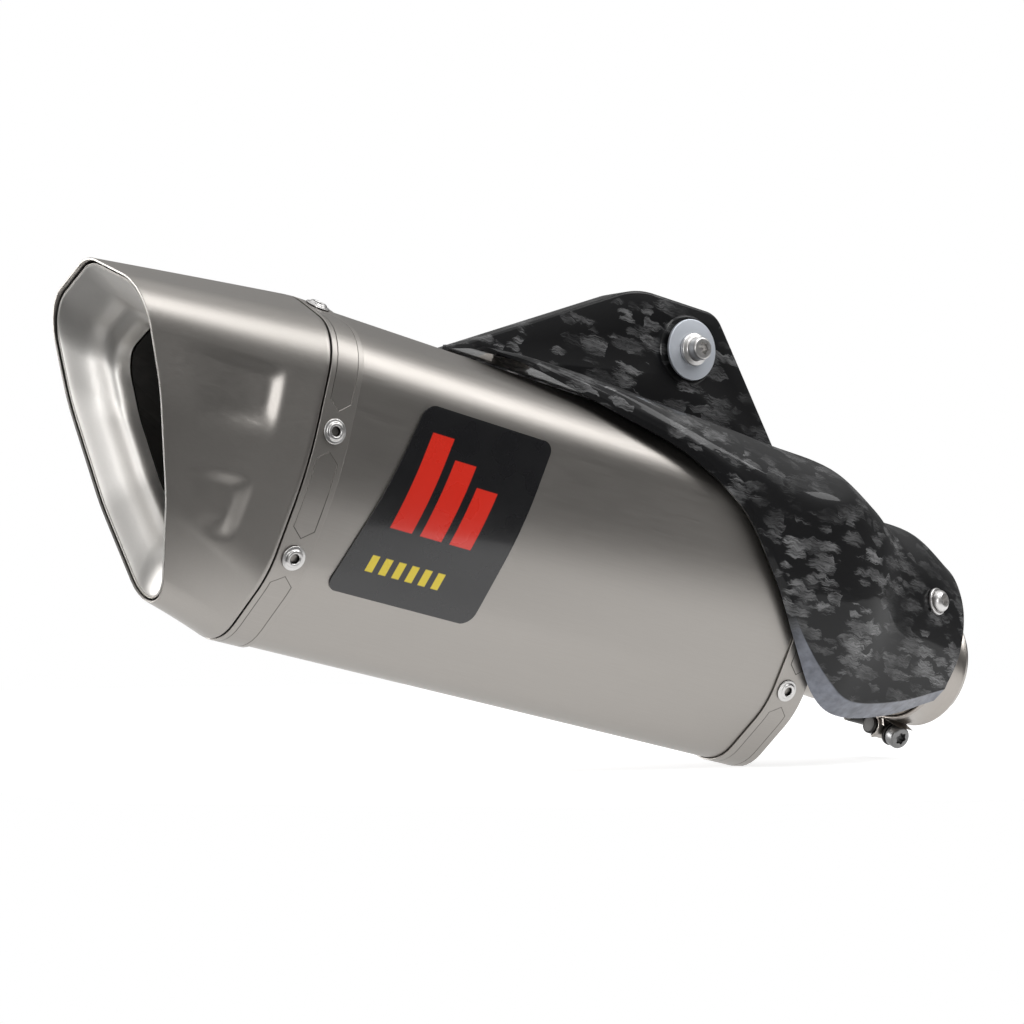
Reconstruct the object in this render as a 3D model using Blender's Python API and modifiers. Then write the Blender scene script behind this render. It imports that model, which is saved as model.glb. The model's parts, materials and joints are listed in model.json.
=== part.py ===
"""Racing slip-on silencer for a motorcycle: a short hexagonal titanium can with a slanted
mouth, a forged-carbon hanger bracket on top and a forged-carbon shield over the inlet.

Everything is drawn in the silencer's own frame, in millimetres: x runs forward along the can
from the seam between the outlet cap and the sleeve, y points to the motorcycle (inboard) and
z is up. The can hangs nose down by PITCH, with the hanger bolt at the world origin.
"""
from math import acos, atan2, cos, pi, radians, sin, tan

import bmesh
import bpy
from mathutils import Matrix, Vector

MM = 0.001                      # drawing unit in metres
GAP = 0.3                       # clearance between pieces that touch
PITCH = radians(12)             # the rear end is carried this much higher

# can, along x
SLEEVE_REAR = 1.0
BAND_WIDTH = 15.0
FRONT_BAND_START = 262.0
CAN_FRONT = 279.5
SHEET = 1.0                     # titanium sheet
BAND_SHEET = 0.7
BAND_OUT = GAP + BAND_SHEET     # how far a band stands off the sleeve
MOUTH_X = -56.0                 # mouth plane: x = MOUTH_X - MOUTH_SLANT * z
MOUTH_SLANT = 0.45
THROAT_X = -36.0                # throat plane, with the same slant
THROAT_SCALE = 0.64
THROAT_RISE = 5.0

# gas path
PIPE_R = 27.0
PIPE_WALL = 1.5
PIPE_START = 312.0
PIPE_END = 390.0
CORE_R = 27.0
CORE_START = 20.0
CORE_END = 300.0

# hanger
HANGER_X, HANGER_Y, HANGER_Z = 221.0, 30.0, 112.0   # inboard end of the hanger collar
BRACKET_FACE = 10.0             # y of the bracket's outboard face
BRACKET_WALL = 3.0
BRACKET_DEPTH = 16.0            # the rim flange runs this far inboard
BOSS_R, BOSS_DEPTH, BOSS_RISE = 16.0, 8.0, 0.7
LUG_XS = {"rear": 128.0, "front": 250.0}
LUG_Z = 76.5
LUG_HOLE_R, LUG_SCREW_R = 3.3, 2.9

# shield and clamp
SHIELD_THICK = 1.8
SCREW_SPOT = (350.0, -20.0, 19.0)   # a point inside the shield on its screw's axis
SCREW_AIM = (0.12, -0.95, 0.28)
CLAMP_X, CLAMP_WIDTH = 379.5, 17.0
CLAMP_TURN = radians(21)        # the strap's ears sit this far round from the bottom, inboard
CLAMP_SHEET = 1.0
BOLT_Z = -34.0                  # the clamp bolt under the pipe's axis, before that turn
BOLT_R = 2.9
BARREL_R = 4.3
BARREL_YS = (0.0, 15.0)

# section corners (y, z, fillet radius) of the right half, from the crown to the keel
CAN = [(0, 76, 45), (50.5, 52, 25), (47.5, 0, 115), (33, -42, 40), (0, -75.5, 20)]
MOUTH = [(0, 63.5, 20), (39, 49.5, 20), (37.5, 14, 60), (26.5, -24, 60), (0, -77.8, 14.4)]
RIVET_Z = (67.5, 14.8, -34.4)   # rivet heights, the same on both sides
RIVET_REAR_X, RIVET_FRONT_X = 7.5, 269.0


# ---------------------------------------------------------------- scene and materials
def clear_scene():
    for item in list(bpy.data.objects):
        bpy.data.objects.remove(item)


def make_collection(name):
    group = bpy.data.collections.new(name)
    bpy.context.scene.collection.children.link(group)
    return group


def material(name, colour, roughness, metallic):
    made = bpy.data.materials.new(name)
    made.use_nodes = True
    shader = made.node_tree.nodes["Principled BSDF"]
    shader.inputs["Base Color"].default_value = (*colour, 1)
    shader.inputs["Roughness"].default_value = roughness
    shader.inputs["Metallic"].default_value = metallic
    return made


clear_scene()
PARTS = make_collection("racing_exhaust_system")
CUTTERS = make_collection("cutters")
TITANIUM = material("titanium", (0.42, 0.39, 0.36), 0.35, 1.0)
STEEL = material("steel", (0.62, 0.62, 0.63), 0.25, 1.0)
DARK_STEEL = material("dark_steel", (0.06, 0.06, 0.06), 0.4, 1.0)
CARBON = material("forged_carbon", (0.02, 0.02, 0.022), 0.15, 0.0)
RUBBER = material("rubber", (0.02, 0.02, 0.02), 0.8, 0.0)
WOOL = material("wool", (0.6, 0.55, 0.42), 0.95, 0.0)
PLASTIC = material("badge_film", (0.02, 0.02, 0.02), 0.3, 0.0)

can_axis = bpy.data.objects.new("can_axis", None)
PARTS.objects.link(can_axis)
can_axis.rotation_euler = (0, PITCH, 0)
can_axis.location = -(Matrix.Rotation(PITCH, 3, "Y") @ Vector((HANGER_X, HANGER_Y, HANGER_Z))) * MM


# ---------------------------------------------------------------- outlines
def filleted(loop, grow=0.0, steps=3):
    """Closed outline whose (u, v, radius) corners are arcs of steps spans.

    grow moves the outline outward, arcs included.
    """
    points = []
    for index, (y, z, radius) in enumerate(loop):
        corner = Vector((y, z))
        before = (Vector(loop[index - 1][:2]) - corner).normalized()
        after = (Vector(loop[(index + 1) % len(loop)][:2]) - corner).normalized()
        half = acos(before.dot(after)) / 2
        centre = corner + (before + after).normalized() * radius / sin(half)
        first = corner + before * radius / tan(half) - centre
        last = corner + after * radius / tan(half) - centre
        start = atan2(first.y, first.x)
        sweep = (atan2(last.y, last.x) - start + pi) % (2 * pi) - pi
        for step in range(steps + 1):
            angle = start + sweep * step / steps
            points.append(centre + Vector((cos(angle), sin(angle))) * (radius + grow))
    return points


def outline(corners, grow=0.0, steps=3):
    """Ring of (y, z) around a section given by the corners of its right half.

    Any two sections of this kind match point for point.
    """
    return filleted(corners + [(-y, z, r) for y, z, r in corners[-2:0:-1]], grow, steps)


def slanted(points, x, slant):
    """Ring of 3-D points on the plane x - slant * z."""
    return [Vector((x - slant * p.y, p.x, p.y)) for p in points]


def flat(points, x):
    return slanted(points, x, 0.0)


def towards_circle(points, radius, amount=1.0):
    """Blend a section's ring into a circle of evenly spaced points."""
    count = len(points)
    crown = (count / 8 - 1) / 2     # the crown's corner is centred on this index
    moved = []
    for index, point in enumerate(points):
        angle = pi / 2 - (index - crown) * 2 * pi / count
        moved.append(point.lerp(Vector((cos(angle), sin(angle))) * radius, amount))
    return moved


def scaled(points, factor, rise):
    return [Vector((p.x * factor, p.y * factor + rise)) for p in points]


def side_point(z, side, grow=0.0):
    """Point and outward direction on the can's flank at height z; side is -1 outboard."""
    ring = outline(CAN, grow)
    pairs = list(zip(ring, ring[1:] + ring[:1]))
    for p, q in pairs:
        if (p.x + q.x) * side > 0 and (p.y - z) * (q.y - z) <= 0 and p.y != q.y:
            share = (z - p.y) / (q.y - p.y)
            spot = p.lerp(q, share)
            along = (q - p).normalized()
            normal = Vector((along.y, -along.x))
            if normal.dot(spot) < 0:
                normal = -normal
            return Vector((0, spot.x, spot.y)), Vector((0, normal.x, normal.y))
    raise ValueError("height is off the section")


# ---------------------------------------------------------------- solids
def place(name, mesh, look, angle=35):
    """Object on the can's axis from a mesh drawn in millimetres."""
    mesh.transform(Matrix.Scale(MM, 4))
    mesh.materials.append(look)
    mesh.shade_smooth()
    mesh.set_sharp_from_angle(angle=radians(angle))
    made = bpy.data.objects.new(name, mesh)
    PARTS.objects.link(made)
    made.parent = can_axis
    return made


def surface_mesh(name, rings, closed=True):
    """Open surface through rings of equal length, its faces pointing away from the axis."""
    bm = bmesh.new()
    rows = [[bm.verts.new(p) for p in ring] for ring in rings]
    span = len(rows[0]) if closed else len(rows[0]) - 1
    for low, high in zip(rows, rows[1:]):
        for i in range(span):
            j = (i + 1) % len(low)
            bm.faces.new((low[i], high[i], high[j], low[j]))
    bmesh.ops.recalc_face_normals(bm, faces=bm.faces[:])
    mesh = bpy.data.meshes.new(name)
    bm.to_mesh(mesh)
    bm.free()
    return mesh


def shell(name, rings, look, thickness, closed=True, outward=(0, 0, 0)):
    """Sheet of this thickness under the surface through the rings.

    outward is a point that the outer side faces away from.
    """
    mesh = surface_mesh(name, rings, closed)
    face = mesh.polygons[len(mesh.polygons) // 2]
    if (face.center - Vector(outward)).dot(face.normal) < 0:
        mesh.flip_normals()
    made = place(name, mesh, look)
    sheet = made.modifiers.new("sheet", "SOLIDIFY")
    sheet.thickness = thickness * MM
    sheet.offset = -1
    sheet.use_even_offset = True
    return made


def turned(name, profile, look, segments=16):
    """Solid of revolution about its own z axis from a closed (radius, height) profile."""
    bm = bmesh.new()
    columns = []
    for index in range(segments):
        angle = 2 * pi * index / segments
        column = [bm.verts.new((r * cos(angle), r * sin(angle), h)) for r, h in profile]
        columns.append(column)
    count = len(profile)
    closed = profile[0][0] > 0
    for index, column in enumerate(columns):
        other = columns[(index + 1) % segments]
        for i in range(count if closed else count - 1):
            j = (i + 1) % count
            bm.faces.new((column[i], other[i], other[j], column[j]))
    bmesh.ops.remove_doubles(bm, verts=bm.verts[:], dist=1e-5)
    bmesh.ops.dissolve_degenerate(bm, edges=bm.edges[:], dist=1e-6)
    bmesh.ops.recalc_face_normals(bm, faces=bm.faces[:])
    mesh = bpy.data.meshes.new(name)
    bm.to_mesh(mesh)
    bm.free()
    return place(name, mesh, look)


def aim(made, spot, direction):
    """Put a turned piece's origin at spot with its z axis along direction."""
    made.location = Vector(spot) * MM
    made.rotation_mode = "QUATERNION"
    made.rotation_quaternion = Vector(direction).to_track_quat("Z", "Y")
    return made


def prism(name, loop, look, start, end, along="y"):
    """Flat outline extruded between two values along y (drawn in x, z) or x (drawn in y, z)."""
    curve = bpy.data.curves.new(name, "CURVE")
    curve.dimensions = "2D"
    curve.fill_mode = "BOTH"
    curve.extrude = abs(end - start) / 2
    spline = curve.splines.new("POLY")
    spline.points.add(len(loop) - 1)
    for point, (u, v) in zip(spline.points, loop):
        point.co = (u, v, 0, 1)
    spline.use_cyclic_u = True
    drawn = bpy.data.objects.new(name, curve)
    PARTS.objects.link(drawn)
    mesh = as_mesh(drawn)
    middle = (start + end) / 2
    if along == "y":
        frame = Matrix(((1, 0, 0, 0), (0, 0, -1, middle), (0, 1, 0, 0), (0, 0, 0, 1)))
    else:
        frame = Matrix(((0, 0, 1, middle), (1, 0, 0, 0), (0, 1, 0, 0), (0, 0, 0, 1)))
    mesh.transform(frame)
    return place(name, mesh, look)


def as_mesh(drawn):
    """Welded mesh of a curve object, which is removed."""
    graph = bpy.context.evaluated_depsgraph_get()
    mesh = bpy.data.meshes.new_from_object(drawn.evaluated_get(graph))
    bpy.data.objects.remove(drawn)
    bm = bmesh.new()
    bm.from_mesh(mesh)
    bmesh.ops.remove_doubles(bm, verts=bm.verts[:], dist=1e-4)
    bmesh.ops.recalc_face_normals(bm, faces=bm.faces[:])
    bm.to_mesh(mesh)
    bm.free()
    return mesh


def cutter(name, radius, depth, spot, direction, sides=12):
    """Hidden round cutter centred on spot."""
    bpy.ops.mesh.primitive_cylinder_add(vertices=sides, radius=radius * MM, depth=depth * MM)
    made = bpy.context.object
    made.name = name
    for group in made.users_collection:
        group.objects.unlink(made)
    CUTTERS.objects.link(made)
    made.parent = can_axis
    made.hide_render = True
    made.display_type = "WIRE"
    return aim(made, spot, direction)


def cut(made, tool):
    hole = made.modifiers.new(tool.name, "BOOLEAN")
    hole.object = tool
    hole.operation = "DIFFERENCE"


def join(made, other):
    """Union another piece into this one, and leave the other out of the build."""
    union = made.modifiers.new(other.name, "BOOLEAN")
    union.object = other
    union.operation = "UNION"
    PARTS.objects.unlink(other)
    CUTTERS.objects.link(other)
    other.hide_render = True
    other.display_type = "WIRE"


def smooth_through(knots, steps):
    """Catmull-Rom curve through 3-D knots, with steps spans between neighbours."""
    ends = [knots[0] * 2 - knots[1]] + knots + [knots[-1] * 2 - knots[-2]]
    curve = []
    for a, b, c, d in zip(ends, ends[1:], ends[2:], ends[3:]):
        for step in range(steps):
            t = step / steps
            curve.append((b * 2 + (c - a) * t + (a * 2 - b * 5 + c * 4 - d) * t * t
                          + (b * 3 - a - c * 3 + d) * t ** 3) / 2)
    return curve + [knots[-1]]


# ---------------------------------------------------------------- the can
def outlet_end():
    """Outer cap skin, funnel with its throat, and the tube that leads in to the core."""
    seam = outline(CAN, BAND_OUT)
    mouth = outline(MOUTH)
    rings = []
    for share in (0.0, 0.5, 1.0):
        ring = [p.lerp(q, share) for p, q in zip(seam, mouth)]
        rings.append(slanted(ring, MOUTH_X * share - GAP * (1 - share), MOUTH_SLANT * share))
    shell("outlet_cap", rings, TITANIUM, SHEET)

    lip = outline(MOUTH, -SHEET - 1.2)
    throat = scaled(outline(MOUTH), THROAT_SCALE, THROAT_RISE)
    middle = [p.lerp(q, 0.55) for p, q in zip(lip, throat)]
    funnel_rings = [
        slanted(lip, MOUTH_X + 1.5, MOUTH_SLANT),
        slanted(middle, MOUTH_X + 9.5, MOUTH_SLANT),
        slanted(scaled(throat, 1.06, -0.4), THROAT_X - 3, MOUTH_SLANT),
        slanted(throat, THROAT_X, MOUTH_SLANT),
        slanted(scaled(throat, 0.99, 0), THROAT_X + 5, MOUTH_SLANT),
    ]
    shell("outlet_funnel", funnel_rings, TITANIUM, -SHEET)

    round_end = towards_circle(throat, CORE_R - SHEET)
    tube_rings = [
        slanted(scaled(throat, 0.99, 0), THROAT_X + 5 + 3 * GAP, MOUTH_SLANT),
        slanted([p.lerp(q, 0.5) for p, q in zip(throat, round_end)], -14.0, 0.2),
        flat(round_end, 2.0),
        flat(round_end, CORE_START - 1),
    ]
    shell("outlet_tube", tube_rings, TITANIUM, -SHEET)


def can_body():
    inner = outline(CAN)
    shell("outer_sleeve", [flat(inner, SLEEVE_REAR), flat(inner, CAN_FRONT - 1)], TITANIUM, SHEET)
    band = outline(CAN, BAND_OUT)
    shell("rear_band", [flat(band, GAP), flat(band, BAND_WIDTH)], TITANIUM, BAND_SHEET)
    shell("front_band", [flat(band, FRONT_BAND_START), flat(band, CAN_FRONT)], TITANIUM, BAND_SHEET)

    flange = outline(CAN, -SHEET - GAP)
    hole = towards_circle(flange, CORE_R + SHEET + GAP)
    shell("outlet_bulkhead", [flat(flange, 13), flat(flange, 2.5), flat(hole, 2.5)],
          TITANIUM, 1.2, outward=(20, 0, 0))

    inlet = [
        flat(flange, CAN_FRONT - 14),
        flat(flange, CAN_FRONT),
        flat(towards_circle(flange, PIPE_R + 12, 0.5), CAN_FRONT + 3),
        flat(towards_circle(flange, PIPE_R + 6), CAN_FRONT + 9),
        flat(towards_circle(flange, PIPE_R + GAP + SHEET), PIPE_START),
        flat(towards_circle(flange, PIPE_R + GAP + SHEET), PIPE_START + 12),
    ]
    shell("inlet_cap", inlet, TITANIUM, SHEET, outward=(200, 0, 0))


def core_and_packing():
    """Perforated core, and the wool that fills the sleeve around it."""
    columns, rows = 10, 15
    length = CORE_END - CORE_START
    bm = bmesh.new()
    grid = []
    for row in range(rows + 1):
        x = CORE_START + length * row / rows
        grid.append([bm.verts.new((x, CORE_R * cos(2 * pi * i / columns), CORE_R * sin(2 * pi * i / columns)))
                     for i in range(columns)])
    for row in range(rows):
        for i in range(columns):
            j = (i + 1) % columns
            if row % 2 == 1 and i % 2 == 0:
                continue
            bm.faces.new((grid[row][i], grid[row + 1][i], grid[row + 1][j], grid[row][j]))
    bmesh.ops.recalc_face_normals(bm, faces=bm.faces[:])
    mesh = bpy.data.meshes.new("perforated_core")
    bm.to_mesh(mesh)
    bm.free()
    core = place("perforated_core", mesh, STEEL)
    sheet = core.modifiers.new("sheet", "SOLIDIFY")
    sheet.thickness = SHEET * MM
    sheet.offset = -1

    outer = outline(CAN, -SHEET - 2.6, 2)
    inner = towards_circle(outer, CORE_R + 1)
    start, end = 16.0, CAN_FRONT - 16
    rings = [flat(inner, start), flat(outer, start), flat(outer, end), flat(inner, end), flat(inner, start)]
    mesh = surface_mesh("packing", rings)
    bm = bmesh.new()
    bm.from_mesh(mesh)
    bmesh.ops.remove_doubles(bm, verts=bm.verts[:], dist=1e-4)
    bmesh.ops.recalc_face_normals(bm, faces=bm.faces[:])
    bm.to_mesh(mesh)
    bm.free()
    place("packing", mesh, WOOL)


def rivets():
    """Hollow dome rivets through each band, the sleeve and the flange behind it."""
    dome = [(1.3, -5.5), (2.2, -5.5), (2.2, GAP), (4.9, GAP), (4.6, GAP + 1.0), (2.6, GAP + 2.0),
            (1.3, GAP + 1.6)]
    ends = {
        "rear": (RIVET_REAR_X, ("rear_band", "outer_sleeve", "outlet_bulkhead")),
        "front": (RIVET_FRONT_X, ("front_band", "outer_sleeve", "inlet_cap")),
    }
    for end, (x, skins) in ends.items():
        number = 0
        for side in (-1, 1):
            for z in RIVET_Z:
                number += 1
                spot, normal = side_point(z, side, BAND_OUT)
                spot.x = x
                aim(turned(f"{end}_rivet_{number}", dome, STEEL, 10), spot, normal)
                tool = cutter(f"{end}_rivet_hole_{number}", 2.7, 9, spot, normal, 8)
                for skin in skins:
                    cut(PARTS.objects[skin], tool)


def badge():
    """Film badge wrapped on the outboard flank: a slanted panel with rounded corners."""
    top, bottom, corner = 36.5, -42.0, 5.0
    heights = [top, top - 0.5, top - 1.8, top - 3.5]
    heights += [top - corner - (top - bottom - 2 * corner) * i / 8 for i in range(9)]
    heights += [bottom + 3.5, bottom + 1.8, bottom + 0.5, bottom]
    rings = []
    for z in heights:
        share = (top - z) / (top - bottom)
        left, right = 47 - 21 * share, 111 - 14.5 * share
        edge = min(top - z, z - bottom)
        inset = corner - (corner ** 2 - max(0.0, corner - edge) ** 2) ** 0.5
        spot, normal = side_point(z, -1, GAP + 0.4)
        rings.append([Vector((left + inset + (right - left - 2 * inset) * i / 4, spot.y, spot.z))
                      for i in range(5)])
    shell("name_badge", rings, PLASTIC, 0.4, closed=False, outward=(80, 0, 0))


# ---------------------------------------------------------------- inlet
def inlet():
    """Inlet pipe with a slotted socket end."""
    profile = [(PIPE_R - PIPE_WALL, PIPE_START - 4), (PIPE_R, PIPE_START - 4),
               (PIPE_R, PIPE_END), (PIPE_R - PIPE_WALL, PIPE_END)]
    pipe = aim(turned("inlet_pipe", profile, TITANIUM, 32), (0, 0, 0), (1, 0, 0))
    for index in range(4):
        angle = pi / 4 + pi / 2 * index
        spot = (PIPE_END - 8, PIPE_R * cos(angle), PIPE_R * sin(angle))
        bpy.ops.mesh.primitive_cube_add(size=MM)
        slot = bpy.context.object
        slot.name = f"pipe_slot_{index + 1}"
        for group in slot.users_collection:
            group.objects.unlink(slot)
        CUTTERS.objects.link(slot)
        slot.data.transform(Matrix.Diagonal((26, 2.2, 8, 1)))
        slot.parent = can_axis
        slot.location = Vector(spot) * MM
        slot.rotation_euler = (angle - pi / 2, 0, 0)
        slot.hide_render = True
        slot.display_type = "WIRE"
        cut(pipe, slot)


def clamp():
    """Band clamp: a strap whose ends loop round two cross barrels, drawn up by one bolt."""
    pivot = bpy.data.objects.new("clamp_pivot", None)
    PARTS.objects.link(pivot)
    pivot.parent = can_axis
    pivot.location = Vector((CLAMP_X, 0, 0)) * MM
    pivot.rotation_euler = (CLAMP_TURN, 0, 0)

    strap_r = PIPE_R + GAP + CLAMP_SHEET / 2
    loop_r = BARREL_R + GAP + CLAMP_SHEET / 2
    near, far = BARREL_YS
    start = atan2(BOLT_Z, far - 7)
    end = atan2(BOLT_Z, near - 7) + 2 * pi
    hook = [radians(angle) for angle in (-60, -20, 20, 60, 95)]
    line = [(far + loop_r * cos(a), BOLT_Z + loop_r * sin(a)) for a in hook]
    line += [(strap_r * cos(start + (end - start) * i / 36), strap_r * sin(start + (end - start) * i / 36))
             for i in range(37)]
    line += [(near - loop_r * cos(a), BOLT_Z + loop_r * sin(a)) for a in reversed(hook)]
    half = CLAMP_WIDTH / 2
    rings = [[Vector((x, y, z)) for y, z in line] for x in (-half, half)]
    band = place("clamp_band", surface_mesh("clamp_band", rings, closed=False), STEEL)
    sheet = band.modifiers.new("sheet", "SOLIDIFY")
    sheet.thickness = CLAMP_SHEET * MM
    sheet.offset = 0
    sheet.use_even_offset = True
    slot = cutter("bolt_way", BOLT_R + 0.5, 40, (0, (near + far) / 2, BOLT_Z), (0, 1, 0))
    cut(band, slot)

    pieces = [slot, band]
    for name, y in (("clamp_barrel", near), ("clamp_barrel_nut", far)):
        reach = half + 1.5
        profile = [(0, -reach), (BARREL_R, -reach), (BARREL_R, reach), (0, reach)]
        barrel = aim(turned(name, profile, DARK_STEEL, 16), (0, y, BOLT_Z), (1, 0, 0))
        cut(barrel, slot)
        pieces.append(barrel)

    # the head end, measured outward from the strap's loop
    face_y = near - loop_r - CLAMP_SHEET / 2 - 2 * GAP
    washer = [(BOLT_R + 0.3, 0), (5.6, 0), (5.6, 1.6), (BOLT_R + 0.3, 1.6)]
    pieces.append(aim(turned("clamp_washer", washer, DARK_STEEL), (0, face_y, BOLT_Z), (0, -1, 0)))
    base = 1.6 + GAP
    end = face_y - far - 9
    bolt = [(0, end), (BOLT_R, end), (BOLT_R, base), (5.4, base), (5.4, base + 3.6), (4.7, base + 4.2),
            (4.7, base + 5.6), (2.3, base + 5.6), (2.3, base + 3), (0, base + 3)]
    pieces.append(aim(turned("clamp_bolt", bolt, STEEL), (0, face_y, BOLT_Z), (0, -1, 0)))
    for piece in pieces:
        piece.parent = pivot


# ---------------------------------------------------------------- hanger
def hanger_bracket():
    """Carbon tray: an upright face with a flange along its rear, top and front edges."""
    corners = [(87, 74, 2), (187, 131.5, 40), (235, 133, 13), (291, 71.5, 4), (92, 71.5, 2)]
    edge = filleted(corners)
    bracket = prism("hanger_bracket", edge, CARBON, BRACKET_FACE, BRACKET_FACE + BRACKET_WALL)
    rim = edge[2:14]
    inner = filleted(corners, -BRACKET_WALL)[2:14]
    back = BRACKET_FACE + BRACKET_DEPTH
    flange = prism("bracket_flange", rim + inner[::-1], CARBON, BRACKET_FACE + 0.5, back)
    boss_mid = (HANGER_X, BRACKET_FACE + (BOSS_DEPTH - BOSS_RISE) / 2, HANGER_Z)
    join(bracket, flange)
    boss = cutter("bracket_boss", BOSS_R, BOSS_DEPTH + BOSS_RISE, boss_mid, (0, 1, 0), 28)
    swell = bracket.modifiers.new("boss", "BOOLEAN")
    swell.object = boss
    swell.operation = "UNION"
    cut(bracket, cutter("bush_way", 11.0, 30, boss_mid, (0, 1, 0), 24))
    for name, x in LUG_XS.items():
        cut(bracket, cutter(f"{name}_bracket_hole", LUG_HOLE_R, 10, (x, BRACKET_FACE, LUG_Z), (0, 1, 0)))


def bracket_lugs():
    """Angle lugs on the can's crown, each with a screw into the bracket from inboard."""
    wall = 3.0
    face = BRACKET_FACE + BRACKET_WALL + GAP
    foot = face + 18

    def crown(y):
        return CAN[0][1] + 0.7 - (CAN[0][1] - CAN[1][1]) / CAN[1][0] * y

    section = [(face, crown(face)), (face, 84), (face + wall, 84), (face + wall, crown(face + wall) + 2.4),
               (foot, crown(foot) + 2.4), (foot, crown(foot))]
    head = [(0, -6.2), (LUG_SCREW_R, -6.2), (LUG_SCREW_R, 0), (4.8, 0), (4.8, 2.6), (3.6, 3.6), (2, 3.6),
            (2, 1.6), (0, 1.6)]
    for name, x in LUG_XS.items():
        lug = prism(f"bracket_lug_{name}", section, TITANIUM, x - 10, x + 10, along="x")
        cut(lug, cutter(f"lug_{name}_hole", LUG_HOLE_R, 12, (x, face, LUG_Z), (0, 1, 0)))
        seat = (x, face + wall + GAP, LUG_Z)
        aim(turned(f"bracket_screw_{name}", head, STEEL, 16), seat, (0, 1, 0))


def hanger_fixing():
    """Rubber bush, flanged collar and bolt; heights run outboard from the bracket's face."""
    spot, outboard = (HANGER_X, BRACKET_FACE, HANGER_Z), (0, -1, 0)
    lip = BOSS_RISE + GAP
    back = -BOSS_DEPTH - GAP
    bush = [(6.9, lip + 0.8), (12.6, lip + 0.8), (12.6, lip), (10.7, lip), (10.7, back), (12.6, back),
            (12.6, back - 0.8), (6.9, back - 0.8)]
    aim(turned("hanger_bush", bush[::-1], RUBBER), spot, outboard)
    seat = lip + 0.8 + GAP
    inboard_end = BRACKET_FACE - HANGER_Y
    collar = [(4.3, inboard_end), (6.6, inboard_end), (6.6, seat), (13.9, seat), (13.9, seat + 1.6),
              (4.3, seat + 1.6)]
    aim(turned("hanger_collar", collar, STEEL, 24), spot, outboard)
    base = seat + 1.6 + GAP
    bolt = [(0, inboard_end - 24), (3.9, inboard_end - 24), (3.9, base), (7.5, base), (7.5, base + 2),
            (5.2, base + 2), (5.2, base + 6.4), (4.4, base + 7.2), (2.4, base + 7.2), (2.4, base + 4),
            (0, base + 4)]
    aim(turned("hanger_bolt", bolt, STEEL), spot, outboard)


# ---------------------------------------------------------------- heat shield
# One rib per station from tail to nose. Each knot is (x, distance outboard, z), from the lip
# under the flank, over the flank's fold, belly and shoulder, to the ridge, crown and inner edge.
SHIELD_RIBS = [
    [(80, 14, 74), (80, 14.5, 74.8), (80, 13.5, 75.2), (80, 12.5, 75.6), (81, 9, 76), (81, 3, 76.2),
     (81, -5, 76.2)],
    [(112, 30, 69.2), (112, 30.5, 71.2), (112, 29.8, 72.6), (112, 28, 74), (112, 21, 75.5), (112, 8, 76.5),
     (112, -5, 76.5)],
    [(145, 45, 58.5), (145, 45.5, 61), (145, 44.8, 65), (145, 42, 69.2), (145, 32, 73.2), (145, 12, 76.3),
     (145, -5, 76.5)],
    [(180, 52, 49.5), (180, 52.5, 52.5), (180, 52, 57.5), (180, 48, 63.5), (180, 35, 71.2), (180, 14, 75.8),
     (180, -5, 76.2)],
    [(213, 54.3, 34), (213, 55, 37.5), (215, 55, 46), (217, 52, 56), (217, 37, 69.8), (217, 14, 75),
     (217, -5, 75.5)],
    [(238, 52.5, 10), (239, 54, 13), (244, 55.5, 33), (248, 52.5, 52), (250, 37, 67.5), (250, 14, 75.2),
     (250, -5, 75.6)],
    [(261, 46.5, -15), (262, 50.5, -11.5), (271, 55, 20), (276, 53.3, 51), (280, 36, 67), (282, 13, 74.6),
     (282, -5, 75)],
    [(283, 39, -34), (286, 46, -27), (296, 52.5, 8), (304, 47, 44), (307, 30, 60.5), (308, 12, 68),
     (308, -5, 69)],
    [(306, 33, -39), (306, 41.5, -32), (321, 44.5, 2), (328, 38, 36), (329, 26, 52), (329, 11, 59.5),
     (329, -5, 60.5)],
    [(338, 30, -32.5), (338, 38, -25.5), (346, 39.5, 4), (351, 35.5, 33), (352, 24.5, 51), (352, 10, 58.5),
     (352, -5, 59.5)],
    [(367, 30.5, -20), (369, 34.5, -14), (376, 34, 4), (377, 32, 24), (377, 22.5, 41), (376, 9, 50),
     (375, -5, 52.5)],
]


def heat_shield():
    ribs = [smooth_through([Vector((x, -out, z)) for x, out, z in rib], 2) for rib in SHIELD_RIBS]
    rails = [smooth_through(list(rail), 2) for rail in zip(*ribs)]
    rings = [list(ring) for ring in zip(*rails)]
    return shell("heat_shield", rings, CARBON, SHIELD_THICK, closed=False, outward=(300, 0, 0))


def shield_fixing(shield):
    """Screw and washer on the shield, and the post on the inlet pipe that takes the screw."""
    bpy.context.view_layer.update()
    hit, spot, normal, _ = shield.ray_cast(Vector(SCREW_SPOT) * MM, Vector(SCREW_AIM))
    if not hit:
        raise ValueError("the shield's screw misses the shield")
    direction = -normal.normalized()
    outer = spot / MM + direction * SHIELD_THICK
    inner = outer - direction * (SHIELD_THICK + 0.8)
    washer = [(3.3, 0), (6.3, 0), (6.3, 1.4), (3.3, 1.4)]
    clear = outer + direction * 0.6
    aim(turned("shield_washer", washer, STEEL), clear, direction)
    screw = [(0, -12), (2.3, -12), (2.3, 1.7), (5.2, 1.7), (5.0, 3.2), (3.6, 4.6), (2.0, 4.9), (2.0, 3.0),
             (0, 3.0)]
    aim(turned("shield_screw", screw, STEEL), clear, direction)
    post = [(2.6, -16), (5.5, -16), (5.5, 0), (2.6, 0)]
    standoff = aim(turned("shield_standoff", post, TITANIUM, 16), inner, direction)
    cut(standoff, cutter("pipe_clearance", PIPE_R + GAP, 80, (350, 0, 0), (1, 0, 0), 48))
    cut(shield, cutter("shield_screw_way", 3.0, 14, outer, direction))


outlet_end()
can_body()
core_and_packing()
rivets()
badge()
inlet()
clamp()
hanger_bracket()
bracket_lugs()
hanger_fixing()
shield_fixing(heat_shield())
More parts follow.
